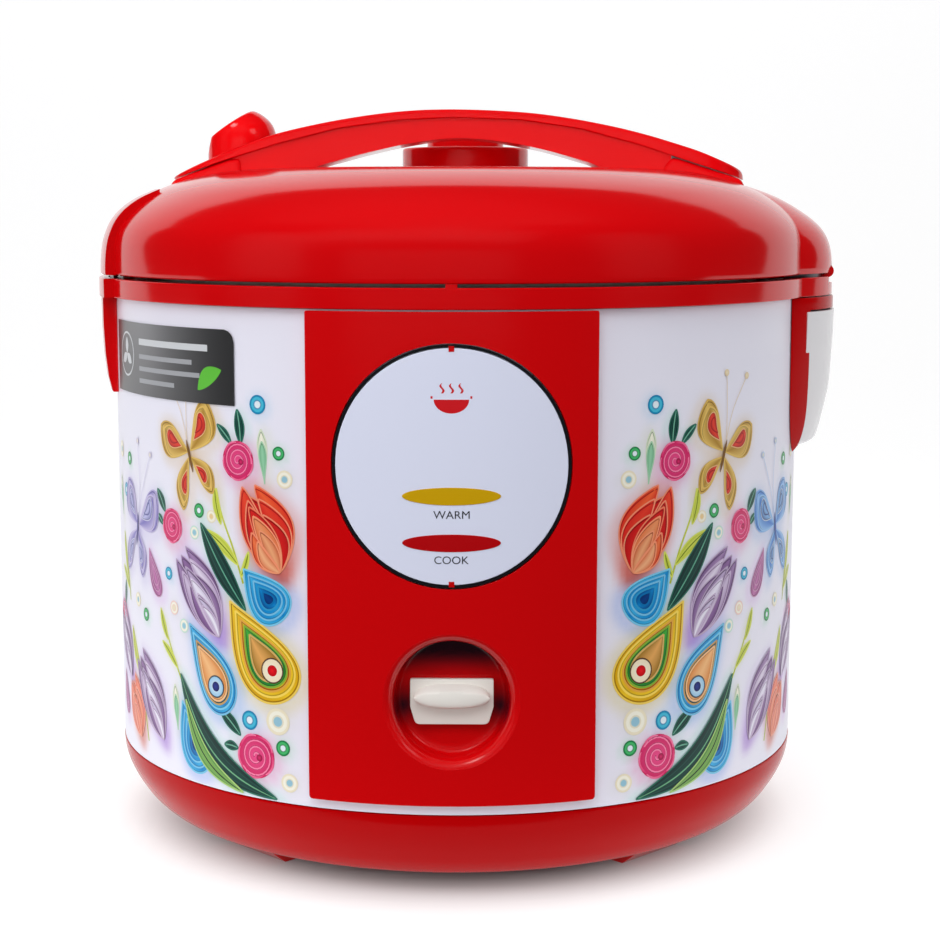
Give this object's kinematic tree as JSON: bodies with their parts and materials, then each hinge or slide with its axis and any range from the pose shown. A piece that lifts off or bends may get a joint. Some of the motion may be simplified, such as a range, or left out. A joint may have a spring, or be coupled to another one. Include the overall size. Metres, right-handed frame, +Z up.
{
  "type": "rice cooker",
  "caption": "Round electric rice cooker with a hinged domed lid, fixed bow handle, push-button latch, steam vent cap, front cook lever with indicator lamps and a side dew collector.",
  "frame": {"origin": "on the table under the axis of the round body", "axes": "+Z up, -Y out of the control panel, +X towards the lid hinge and the dew collector"},
  "size_m": [0.2752, 0.2613, 0.2648],
  "materials": {
    "red_gloss_plastic": "high gloss",
    "white_sleeve": "printed white enamel, satin gloss",
    "disc_white": "semi-gloss",
    "ivory_plastic": "satin",
    "grey_plastic": "matte",
    "black_plastic": "matte",
    "milky_plastic": "translucent gloss",
    "lens_amber": "gloss",
    "lens_red": "gloss",
    "dark_trim": "dark bright",
    "aluminium": "satin",
    "steel": "plain",
    "silicone": "matte",
    "glass_bulb": "clear"
  },
  "bodies": {
    "cooker_body": {"upper_rim": "red_gloss_plastic", "hinge_pin": "steel", "outer_sleeve": "white_sleeve", "control_panel": "red_gloss_plastic", "panel_disc": "disc_white", "disc_trim_ring": "dark_trim", "lamp_lens_warm": "lens_amber", "lamp_lens_cook": "lens_red", "lamp_board": "black_plastic", "neon_lamp_warm": "glass_bulb", "neon_lamp_cook": "glass_bulb", "lever_pivot_pin": "steel", "latch_housing": "red_gloss_plastic", "hinge_housing": "red_gloss_plastic", "base_pan": "red_gloss_plastic", "base_cover": "steel", "base_screw_1": "steel", "base_screw_2": "steel", "base_screw_3": "steel", "foot_front_left": "red_gloss_plastic", "foot_front_right": "red_gloss_plastic", "foot_rear_right": "red_gloss_plastic", "foot_rear_left": "red_gloss_plastic", "inner_liner": "steel", "heating_plate": "aluminium", "inner_pot": "aluminium", "thermostat_cap": "aluminium", "thermostat_spring": "steel", "side_heater_band": "silicone", "keep_warm_thermostat": "black_plastic", "thermal_fuse": "steel", "microswitch": "black_plastic", "appliance_inlet": "black_plastic", "inlet_pin_left": "steel", "inlet_pin_right": "steel", "inlet_pin_earth": "steel"},
    "lid": {"lid_outer_shell": "red_gloss_plastic", "lid_inner_cover": "grey_plastic", "inner_lid_plate": "aluminium", "inner_lid_seal": "silicone", "inner_lid_knob": "silicone", "steam_vent_grommet": "silicone", "handle_cover": "red_gloss_plastic", "handle_base": "red_gloss_plastic", "handle_screw_left": "steel", "handle_screw_right": "steel", "latch_pivot_pin": "steel", "button_spring": "steel"},
    "vent_cap": {"steam_vent_cap": "red_gloss_plastic"},
    "button": {"release_button": "red_gloss_plastic"},
    "latch": {"latch_hook": "ivory_plastic"},
    "lever": {"cook_lever": "ivory_plastic"},
    "magnet": {"thermostat_magnet": "dark_trim"},
    "dew_cup": {"dew_collector": "milky_plastic"}
  },
  "joints": [
    {"name": "lid_hinge", "type": "hinge", "parent": "cooker_body", "child": "lid", "pos_m": [0.1376, 0, 0.2054], "axis": [0, 1, 0], "range_deg": [0, 90]},
    {"name": "vent_cap_lift", "type": "slide", "parent": "lid", "child": "vent_cap", "axis": [0, 0, 1], "range_m": [0, 0.03]},
    {"name": "button_press", "type": "slide", "parent": "lid", "child": "button", "axis": [0, 0, -1], "range_m": [0, 0.004], "stiffness_N_per_m": 400, "springref_m": -0.003},
    {"name": "latch_turn", "type": "hinge", "parent": "lid", "child": "latch", "pos_m": [-0.118, 0, 0.219], "axis": [0, 1, 0], "range_deg": [0, 7], "deforming": ["button_spring"]},
    {"name": "cook_lever_press", "type": "hinge", "parent": "cooker_body", "child": "lever", "pos_m": [0, -0.06, 0.038], "axis": [1, 0, 0], "range_deg": [0, 5], "stiffness_Nm_per_rad": 0.8, "springref_deg": -5.73},
    {"name": "magnet_lift", "type": "slide", "parent": "cooker_body", "child": "magnet", "axis": [0, 0, 1], "range_m": [0, 0.0056]},
    {"name": "dew_cup_pull", "type": "slide", "parent": "cooker_body", "child": "dew_cup", "axis": [1, 0, 0], "range_m": [0, 0.06]}
  ],
  "couplings": [
    {"joint": "latch_turn", "follows": "button_press", "rad_per_m": 27.5},
    {"joint": "magnet_lift", "follows": "cook_lever_press", "m_per_rad": 0.06}
  ]
}
